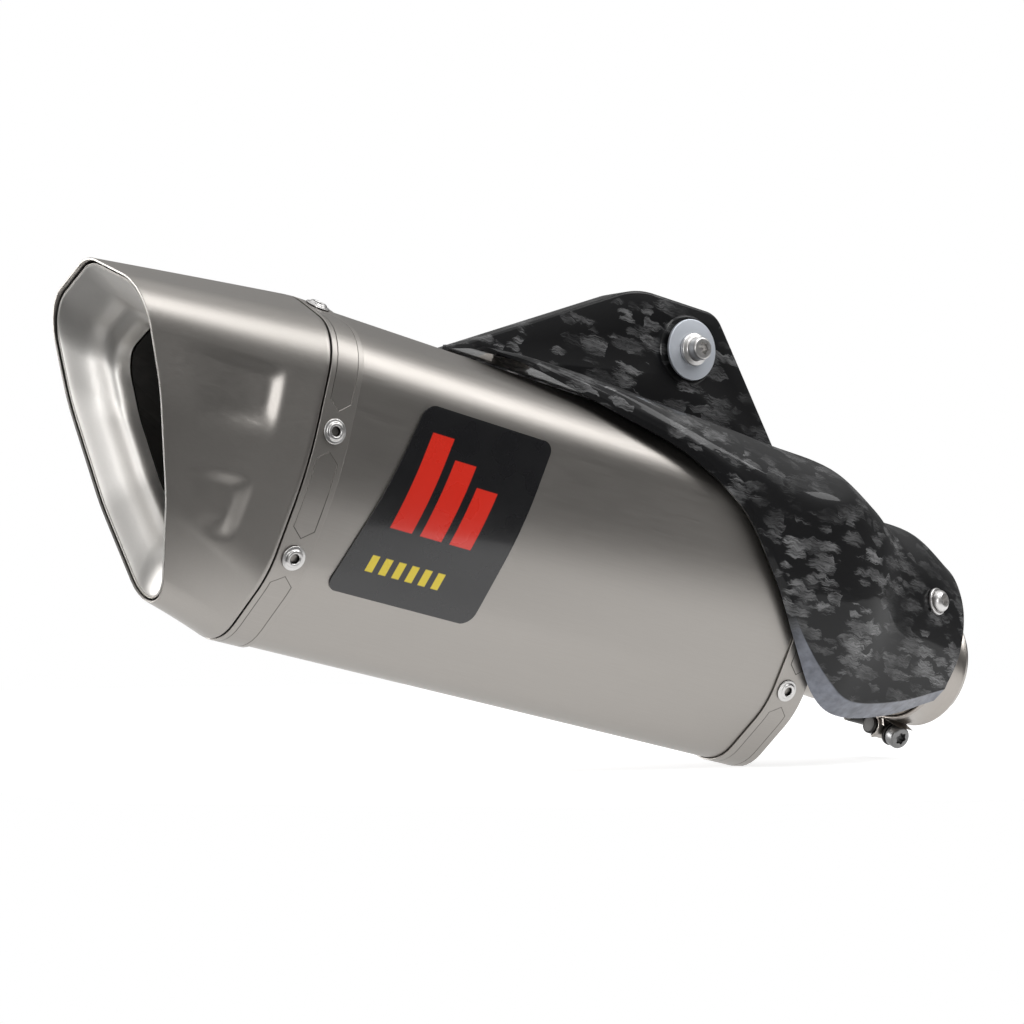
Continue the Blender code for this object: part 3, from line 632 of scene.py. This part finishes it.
def band(end, start, stop):
    """Riveted band; how far each place lies from a window's end goes to its material."""
    ring = section(CAN, BAND_OUT, 12)
    run = [0.0]
    for p, q in zip(ring, ring[1:] + ring[:1]):
        run.append(run[-1] + (q - p).length)
    whole = run[-1]
    rivet_runs = []
    for side in (-1, 1):
        for z in RIVET_Z:
            spot, _ = side_point(z, side, BAND_OUT)
            spot = Vector((spot.y, spot.z))
            nearest = min(range(len(ring)), key=lambda i: (ring[i] - spot).length)
            toward = (ring[nearest] - ring[nearest - 1]).normalized()
            rivet_runs.append(run[nearest] + (spot - ring[nearest]).dot(toward))
    count = 6
    rings = [slanted(ring, start + (stop - start) * i / count) for i in range(count + 1)]
    bm, rows = rings_mesh(rings, attribute="edge_run")
    layer = bm.verts.layers.float["edge_run"]
    for row in rows:
        for index, vert in enumerate(row):
            gaps = [abs((run[index] - r + whole / 2) % whole - whole / 2) for r in rivet_runs]
            vert[layer] = (min(gaps) - WINDOW_START) * MM
    middle = (start + stop) / 2 * MM
    look = band_look(f"{end}_band_titanium", middle)
    made = finish_piece(f"{end}_band_skin", bm, look.material, "can", [f"{end}_band"])
    thicken(made, 0.7)


def rivets():
    """Hollow dome rivets, three on each side of both bands, with painted shade down their bores."""
    dome = rounded([(0, -2.5), (1.8, -2.5), (1.8, 1.2), (2.3, 1.9), (3.3, 1.75), (3.7, 0.95), (4.9, 0.8),
                    (5.0, 0.3), (2.4, 0.3), (2.4, -3.5), (0, -3.5)], 0.35)
    for end, x in RIVET_X.items():
        number = 0
        for side in (-1, 1):
            for z in RIVET_Z:
                number += 1
                spot, normal = side_point(z, side, BAND_OUT)
                spot.x = x
                bm = bmesh.new()
                layer = bm.verts.layers.float.new("hole")
                lathe(bm, dome, spot, normal, 32)
                # mark the bore, which the material fills with painted shade
                for vert in bm.verts:
                    reach = vert.co - spot
                    reach -= normal * reach.dot(normal)
                    vert[layer] = 1.0 if reach.length < BORE_SHADE_RADIUS else 0.0
                bmesh.ops.recalc_face_normals(bm, faces=bm.faces[:])
                finish_piece(f"{end}_rivet_dome_{number}", bm, rivet_steel_bore_shade.material, "can",
                             [f"{end}_rivet_{number}"])


def name_badge():
    """Film badge with rounded corners, following the flank."""
    top, bottom, corner = BADGE_TOP, BADGE_BOTTOM, BADGE_CORNER
    steps = 12
    heights = [top - corner * (1 - cos(pi / 2 * i / steps)) for i in range(steps + 1)]
    heights += [top - corner - (top - bottom - 2 * corner) * i / 30 for i in range(1, 30)]
    heights += [bottom + corner * (1 - cos(pi / 2 * i / steps)) for i in range(steps, -1, -1)]
    rings = []
    for z in heights:
        share = (top - z) / (top - bottom)
        left = BADGE_REAR[0] + (BADGE_REAR[1] - BADGE_REAR[0]) * share
        right = BADGE_FRONT[0] + (BADGE_FRONT[1] - BADGE_FRONT[0]) * share
        edge = min(top - z, z - bottom)
        inset = corner - max(0.0, corner ** 2 - max(0.0, corner - edge) ** 2) ** 0.5
        spot, _ = side_point(z, -1, GAP + 0.4)
        rings.append([Vector((left + inset + (right - left - 2 * inset) * i / 12, spot.y, spot.z))
                      for i in range(13)])
    bm, _ = rings_mesh(rings, closed=False)
    face_out(bm, (80, 0, 0))
    made = finish_piece("badge_panel", bm, badge_film.material, "can", ["name_badge"])
    thicken(made, 0.4)


def inlet_cap():
    """Cone from the can's section to the inlet pipe."""
    flange = section(CAN, -SHEET - GAP, 3)
    knots = [
        slanted(flange, CAN_FRONT - 14),
        slanted(flange, CAN_FRONT - 1),
        slanted(towards_circle(flange, PIPE_R + 12, 0.5), CAN_FRONT + 3),
        slanted(towards_circle(flange, PIPE_R + 6), CAN_FRONT + 9),
        slanted(towards_circle(flange, PIPE_R + GAP + SHEET), PIPE_START),
        slanted(towards_circle(flange, PIPE_R + GAP + SHEET), PIPE_START + 12),
    ]
    rails = [smooth_through([ring[i] for ring in knots], 6) for i in range(len(flange))]
    bm, _ = rings_mesh([list(ring) for ring in zip(*rails)])
    face_out(bm, (200, 0, 0))
    made = finish_piece("inlet_cone", bm, inner_metal.material, "can", ["inlet_cap"])
    thicken(made, SHEET)


def inlet_pipe():
    """Pipe whose end is slotted four times, so that the clamp can squeeze it."""
    spans, slot_start = 80, PIPE_END - 21
    angles = [2 * pi * (i + 0.5) / spans for i in range(spans)]
    rings = [[Vector((x, PIPE_R * cos(a), PIPE_R * sin(a))) for a in angles]
             for x in (PIPE_START - 4, PIPE_START + 20, slot_start, PIPE_END - 10, PIPE_END)]
    bm, _ = rings_mesh(rings)
    face_out(bm, (PIPE_START + 30, 0, 0))
    open_faces = []
    for face in bm.faces:
        centre = face.calc_center_median()
        lean = (atan2(centre.z, centre.y) + pi / 4) % (pi / 2)
        if centre.x > slot_start and min(lean, pi / 2 - lean) < 0.02:
            open_faces.append(face)
    bmesh.ops.delete(bm, geom=open_faces, context="FACES")
    made = finish_piece("inlet_tube", bm, pipe_metal.material, "can", ["inlet_pipe"])
    thicken(made, PIPE_WALL)


# ------------------------------------------------------------------------------- bracket and hanger
def circle(x, z, radius, count=48):
    angles = [2 * pi * i / count for i in range(count)]
    return [(x + radius * cos(a), z + radius * sin(a)) for a in angles]


def hanger_bracket():
    """Carbon tray: a face with a rim along its three free edges, and a ring round the hanger's hole."""
    corners = [(87, 74, 2), (187, 131.5, 40), (235, 133, 13), (291, 71.5, 4), (92, 71.5, 2)]
    steps = 12
    rimmed = slice(steps - 1, 4 * steps + 4)
    edge = filleted(corners, 0.0, steps)
    inner = filleted(corners, -BRACKET_WALL, steps)
    rim = edge[rimmed] + inner[rimmed][::-1]
    holes = [circle(HANGER.x, HANGER.z, 11.0)] + [circle(x, LUG_Z, 3.3, 24) for x in LUG_X.values()]
    bm = bmesh.new()
    plate(bm, [edge] + holes, BRACKET_FACE, BRACKET_FACE + BRACKET_WALL, 1.2)
    plate(bm, [rim], BRACKET_FACE + 0.4, BRACKET_FACE + BRACKET_DEPTH, 0.5)
    boss = rounded([(11.0, -0.5), (11.0, 0.7), (15.4, 0.7), (16.6, -0.4)], 0.5)
    back = rounded([(11.0, -3.4), (11.0, -7.3), (15.2, -7.3), (16.0, -3.0)], 0.5)
    for profile in (boss + [(16.6, -0.5)], back + [(16.0, -2.9)]):
        lathe(bm, profile, (HANGER.x, BRACKET_FACE, HANGER.z), OUTBOARD, 64)
    bmesh.ops.recalc_face_normals(bm, faces=bm.faces[:])
    finish_piece("bracket_tray", bm, carbon.material, "can", ["hanger_bracket"])


def torx(profile, socket_r, depth):
    """Close a head's profile with a six-lobed socket; returns the profile and the socket's first index."""
    top = profile[-1][1]
    first = len(profile)
    return profile + [(socket_r, top), (socket_r * 0.97, top - 0.25), (socket_r * 0.92, top - depth),
                      (0, top - depth - 0.4)], first


def hanger_fixing():
    """The bush's collar disc and the bolt through it."""
    spot = (HANGER.x, BRACKET_FACE, HANGER.z)
    seat, disc = 0.7 + GAP + 0.8 + GAP, 1.6
    end = BRACKET_FACE - HANGER.y
    collar = rounded([(4.3, end), (6.6, end), (6.6, seat), (13.9, seat), (13.9, seat + disc),
                      (4.6, seat + disc)], 0.5)
    turned("collar_disc", collar, spot, OUTBOARD, pale_steel.material, "can",
           ["hanger_collar"], 64)
    tip, base = end - 24, seat + disc + GAP
    head = rounded([(0, tip), (3.4, tip), (3.9, tip + 1), (3.9, base), (7.5, base), (7.5, base + 1.6),
                    (5.6, base + 2.2), (5.2, base + 2.6), (5.2, base + 6.6), (4.5, base + 7.2),
                    (3.6, base + 7.2)], 0.45)
    profile, first = torx(head, 2.7, 3.2)
    turned("hanger_bolt_head", profile, spot, OUTBOARD, steel.material, "hanger_bolt",
           ["hanger_bolt"], 72, first)


def bracket_screws():
    head = rounded([(0, -6.2), (2.9, -6.2), (2.9, 0), (4.8, 0), (4.8, 2.4), (4.0, 3.5), (3.0, 3.6)], 0.5)
    profile, first = torx(head, 2.2, 2.0)
    for name, x in LUG_X.items():
        spot = (x, BRACKET_FACE + BRACKET_WALL + GAP + 3 + GAP, LUG_Z)
        turned(f"lug_screw_{name}", profile, spot, (0, 1, 0), steel.material, f"bracket_screw_{name}",
               [f"bracket_screw_{name}"], 48, first)


# ------------------------------------------------------------------------------- heat shield
SHIELD_RIBS = [                                  # (x, outboard, z), from the lip to the crown
    [(95, 22, 72.6), (95, 22.5, 73.4), (94, 20.5, 74.2), (92, 17, 75.1), (90, 12, 75.9), (88, 4, 76.2),
     (86, -5, 76.2)],
    [(112, 30, 69.2), (112, 30.5, 71.2), (112, 29.8, 72.6), (112, 28, 74), (112, 21, 75.5), (112, 8, 76.5),
     (112, -5, 76.5)],
    [(145, 45, 58.5), (145, 45.5, 61), (145, 44.8, 65), (145, 42, 69.2), (145, 32, 73.2), (145, 12, 76.3),
     (145, -5, 76.5)],
    [(180, 52, 49.5), (180, 52.5, 52.5), (180, 52, 57.5), (180, 48, 63.5), (180, 35, 71.2), (180, 14, 75.8),
     (180, -5, 76.2)],
    [(213, 54.3, 34), (213, 55, 37.5), (215, 55, 46), (217, 52, 56), (217, 37, 69.8), (217, 14, 75),
     (217, -5, 75.5)],
    [(238, 52.5, 10), (239, 54, 13), (244, 55.5, 33), (248, 52.5, 52), (250, 37, 67.5), (250, 14, 75.2),
     (250, -5, 75.6)],
    [(261, 46.5, -15), (262, 50.5, -11.5), (271, 55, 20), (276, 53.3, 51), (280, 36, 67), (282, 13, 74.6),
     (282, -5, 75)],
    [(283, 39, -34), (286, 46, -27), (296, 52.5, 8), (304, 47, 44), (307, 30, 60.5), (308, 12, 68),
     (308, -5, 69)],
    [(306, 33, -39), (306, 41.5, -32), (321, 44.5, 2), (328, 38, 36), (329, 26, 52), (329, 11, 59.5),
     (329, -5, 60.5)],
    [(338, 30, -32.5), (338, 38, -25.5), (346, 39.5, 4), (351, 35.5, 33), (352, 24.5, 51), (352, 10, 58.5),
     (352, -5, 59.5)],
    [(367, 30.5, -20), (369, 34.5, -14), (376, 34, 4), (377, 32, 24), (377, 22.5, 41), (376, 9, 50),
     (375, -5, 52.5)],
]


def shield_grid():
    """Smooth grid over the shield; the lip below the fold is drawn straight, so the fold stays crisp."""
    ribs = []
    for rib in SHIELD_RIBS:
        knots = [Vector((x, -out, z)) for x, out, z in rib]
        lip = [knots[0].lerp(knots[1], i / 4) for i in range(4)]
        lip.append(knots[0].lerp(knots[1], 0.92))       # just short of the fold
        ribs.append(lip + smooth_through(knots[1:], 9))
    rails = [smooth_through(list(rail), 9) for rail in zip(*ribs)]
    return [list(ring) for ring in zip(*rails)]


def heat_shield():
    """Carbon shield, its lip marked for the material's painted grey reflection."""
    bm, rows = rings_mesh(shield_grid(), closed=False, attribute="lip")
    layer = bm.verts.layers.float["lip"]
    # the lip's front stretch is marked for a painted grey reflection
    for row in rows:
        for vert in row[:LIP_ROWS]:
            vert[layer] = smooth_step(LIP_REFLECTION_FROM, LIP_REFLECTION_TO, vert.co.x)
    face_out(bm, (300, 0, 0))
    made = finish_piece("shield_skin", bm, carbon.material, "can", ["heat_shield"], 28)
    thicken(made, SHIELD_SHEET)


def cad_axis(name):
    """The joint's place and axis in the can's own frame, in millimetres."""
    joint = next(j for j in frame["joints"] if j["name"] == name)
    back = PLACE.inverted()
    return back @ Vector(joint["pos_m"]) / MM, back.to_3x3() @ Vector(joint["axis"])


def shield_fixing():
    spot, out = cad_axis("shield_screw_turn")
    washer = rounded([(3.3, 0), (6.3, 0), (6.3, 1.2), (5.6, 1.4), (3.3, 1.4)], 0.3)
    turned("shield_washer_disc", washer, spot, out, steel.material, "can", ["shield_washer"], 48)
    head = rounded([(0, -12), (2.3, -12), (2.3, 1.7), (5.2, 1.7), (5.15, 2.8), (4.5, 4.0), (3.4, 4.8),
                    (3.0, 4.9)], 0.5)
    profile, first = torx(head, 2.4, 2.4)
    turned("shield_button_screw", profile, spot, out, steel.material, "shield_screw",
           ["shield_screw"], 60, first)


# ------------------------------------------------------------------------------- clamp
def clamp_strap(swivel):
    """Strap round the pipe, each end looped round a barrel, with two pressed beads."""
    near, far = BARREL_YS
    start = atan2(BOLT_Z, far - 7)
    end = atan2(BOLT_Z, near - 7) + 2 * pi
    around = [start + (end - start) * i / 96 for i in range(97)]
    hook = [radians(-60 + 155 * i / 12) for i in range(13)]
    line = [(far + LOOP_R * cos(a), BOLT_Z + LOOP_R * sin(a)) for a in hook]
    line += [(STRAP_R * cos(a), STRAP_R * sin(a)) for a in around]
    line += [(near - LOOP_R * cos(a), BOLT_Z + LOOP_R * sin(a)) for a in reversed(hook)]
    half = CLAMP_WIDTH / 2
    stations = ((-half, 0.0), (-half + 1.2, 0.5), (-half + 2.4, 0.0),
                (half - 2.4, 0.0), (half - 1.2, 0.5), (half, 0.0))
    rings = []
    for x, rise in stations:
        ring = []
        for y, z in line:
            grow = 1 + rise / max(1.0, (y * y + z * z) ** 0.5)
            ring.append(Vector((x, y * grow, z * grow)))
        rings.append(ring)
    bm, _ = rings_mesh(rings, closed=False)
    made = finish_piece("clamp_strap", bm, pipe_metal.material, "clamp", ["clamp_band"],
                        matrix=swivel)
    thicken(made, 1.0, 0)


def clamp():
    """Clamp on the inlet pipe: strap, two barrels, washer and bolt."""
    swivel = PLACE @ Matrix.Translation((CLAMP_X * MM, 0, 0)) @ Matrix.Rotation(CLAMP_TURN, 4, "X")
    clamp_strap(swivel)
    near, far = BARREL_YS
    reach = CLAMP_WIDTH / 2 + 1.5
    for name, y in (("clamp_barrel", near), ("clamp_barrel_nut", far)):
        profile = rounded([(0, -reach), (BARREL_R, -reach), (BARREL_R, reach), (0, reach)], 0.9)
        turned(f"{name}_pin", profile, (0, y, BOLT_Z), (1, 0, 0), black_steel.material, "clamp",
               [name], 40, matrix=swivel)
    face = (0, near - LOOP_R - 0.5 - 2 * GAP, BOLT_Z)
    washer = rounded([(3.2, 0), (5.9, 0), (5.9, 1.6), (3.2, 1.6)], 0.3)
    turned("clamp_washer_ring", washer, face, OUTBOARD, black_steel.material, "clamp",
           ["clamp_washer"], 40, matrix=swivel)
    base = 1.6 + GAP
    tail = face[1] - far - 9
    head = rounded([(0, tail), (2.9, tail), (2.9, base), (5.4, base), (5.4, base + 4.6), (4.9, base + 5.4),
                    (3.6, base + 5.6)], 0.45)
    profile, first = torx(head, 2.7, 2.8)
    turned("clamp_bolt_head", profile, face, OUTBOARD, dull_steel.material, "clamp_bolt",
           ["clamp_bolt"], 60, first, matrix=swivel)


outlet_cap()
outlet_funnel()
sleeve()
band("rear", GAP, BAND_WIDTH)
band("front", FRONT_BAND_START, CAN_FRONT)
rivets()
name_badge()
inlet_cap()
inlet_pipe()
hanger_bracket()
hanger_fixing()
bracket_screws()
heat_shield()
shield_fixing()
clamp()


# ------------------------------------------------------------------------------- stage and light
FLOOR_CORNERS = ((-0.33, -0.07), (-0.2, -0.2), (0.75, -0.55), (1.5, -0.55), (1.5, 1.4), (-0.33, 1.4))
FLOOR_DROP = 0.0002                              # clears the part's lowest point
FLOOR_TONE, FLOOR_GLOW = (0.5, 0.5, 0.5), 0.75
SOFTBOXES = (                                    # name, place, target, size, power in watts
    ("overhead", (0.95, -0.78, 1.02), (0, 0, -0.1), (0.55, 0.9), 9.5),
    ("overhead_rear", (0.0, -0.93, 1.2), (-0.2, 0, 0), (0.5, 0.9), 9),
    ("mouth", (-1.0, -1.25, 0.1), (-0.27, 0, 0), (0.35, 0.6), 6),
    ("behind", (-1.3, 1.5, 0.15), (0, 0, -0.05), (0.9, 0.9), 22),
    ("above", (-0.3, 0.5, 2.2), (0, 0, -0.2), (2.6, 2.0), 16),
)
CAMERA_PLACE, CAMERA_AZIMUTH, CAMERA_ELEVATION = (-0.7717, -0.9121, -0.1247), -37, -2.5
CAMERA_LENS = 91.66


def floor():
    """Pale glowing floor that the part stands on."""
    bm = bmesh.new()
    bm.faces.new([bm.verts.new((x, y, 0)) for x, y in FLOOR_CORNERS])
    mesh = bpy.data.meshes.new("floor")
    bm.to_mesh(mesh)
    bm.free()
    made = bpy.data.objects.new("floor", mesh)
    bpy.context.scene.collection.objects.link(made)
    made.location = (0, 0, cad_box[0][2] - FLOOR_DROP)
    look = Look("floor_white", FLOOR_TONE, 0.8)
    look.put("Specular IOR Level", 0.0)
    look.put("Emission Color", (1, 1, 1, 1))
    look.put("Emission Strength", FLOOR_GLOW)
    mesh.materials.append(look.material)


def softbox(name, spot, target, size, power):
    lamp = bpy.data.lights.new(name, "AREA")
    lamp.shape = "RECTANGLE"
    lamp.size, lamp.size_y = size
    lamp.energy = power
    made = bpy.data.objects.new(name, lamp)
    bpy.context.scene.collection.objects.link(made)
    made.location = spot
    made.rotation_euler = (Vector(target) - Vector(spot)).to_track_quat("-Z", "Y").to_euler()


def studio():
    """World that looks white but reflects as a dim studio, with five softboxes."""
    world = bpy.data.worlds.new("studio")
    bpy.context.scene.world = world
    world.use_nodes = True
    tree = world.node_tree
    ground = tree.nodes["Background"]
    coords = tree.nodes.new("ShaderNodeTexCoord")
    apart = tree.nodes.new("ShaderNodeSeparateXYZ")
    tree.links.new(coords.outputs["Generated"], apart.inputs[0])

    def ramp(source, stops):
        made = tree.nodes.new("ShaderNodeValToRGB")
        made.color_ramp.interpolation = "EASE"
        while len(made.color_ramp.elements) < len(stops):
            made.color_ramp.elements.new(0.5)
        for element, (place, tone) in zip(made.color_ramp.elements, stops):
            element.position = place
            element.color = (tone, tone, tone, 1)
        tree.links.new(source, made.inputs[0])
        return made.outputs[0]

    # a dark studio round the camera's side, for the metal and the clear coat to reflect
    facing = tree.nodes.new("ShaderNodeVectorMath")
    facing.operation = "DOT_PRODUCT"
    facing.inputs[1].default_value = (0.60, 0.80, 0.0)
    tree.links.new(coords.outputs["Generated"], facing.inputs[0])
    spread = tree.nodes.new("ShaderNodeMapRange")
    spread.inputs["From Min"].default_value = -1
    tree.links.new(facing.outputs["Value"], spread.inputs["Value"])
    around = ramp(spread.outputs[0], ((0.0, 0.2), (0.3, 0.07), (0.6, 0.07), (1.0, 0.12)))
    height = ramp(apart.outputs[2], ((0.0, 0.0), (0.3, 0.1), (0.62, 1.0)))
    mix = tree.nodes.new("ShaderNodeMix")
    mix.data_type = "RGBA"
    tree.links.new(height, mix.inputs[0])
    tree.links.new(around, mix.inputs[6])
    mix.inputs[7].default_value = (0.45, 0.45, 0.45, 1)
    tree.links.new(mix.outputs[2], ground.inputs["Color"])

    # the room itself is white to look at
    white = tree.nodes.new("ShaderNodeBackground")
    seen = tree.nodes.new("ShaderNodeLightPath")
    room = tree.nodes.new("ShaderNodeMixShader")
    tree.links.new(seen.outputs["Is Camera Ray"], room.inputs[0])
    tree.links.new(ground.outputs[0], room.inputs[1])
    tree.links.new(white.outputs[0], room.inputs[2])
    white.inputs["Color"].default_value = (1, 1, 1, 1)
    tree.links.new(room.outputs[0], tree.nodes["World Output"].inputs["Surface"])

    for box in SOFTBOXES:
        softbox(*box)


def camera():
    azimuth, elevation = radians(CAMERA_AZIMUTH), radians(CAMERA_ELEVATION)
    forward = -Vector((sin(azimuth) * cos(elevation), -cos(azimuth) * cos(elevation), sin(elevation)))
    data = bpy.data.cameras.new("camera")
    data.lens = CAMERA_LENS
    data.sensor_width = 36
    data.clip_start = 0.01
    made = bpy.data.objects.new("camera", data)
    bpy.context.scene.collection.objects.link(made)
    made.location = CAMERA_PLACE
    made.rotation_euler = forward.to_track_quat("-Z", "Y").to_euler()
    bpy.context.scene.camera = made


floor()
studio()
camera()
bpy.context.scene.view_settings.view_transform = "Standard"
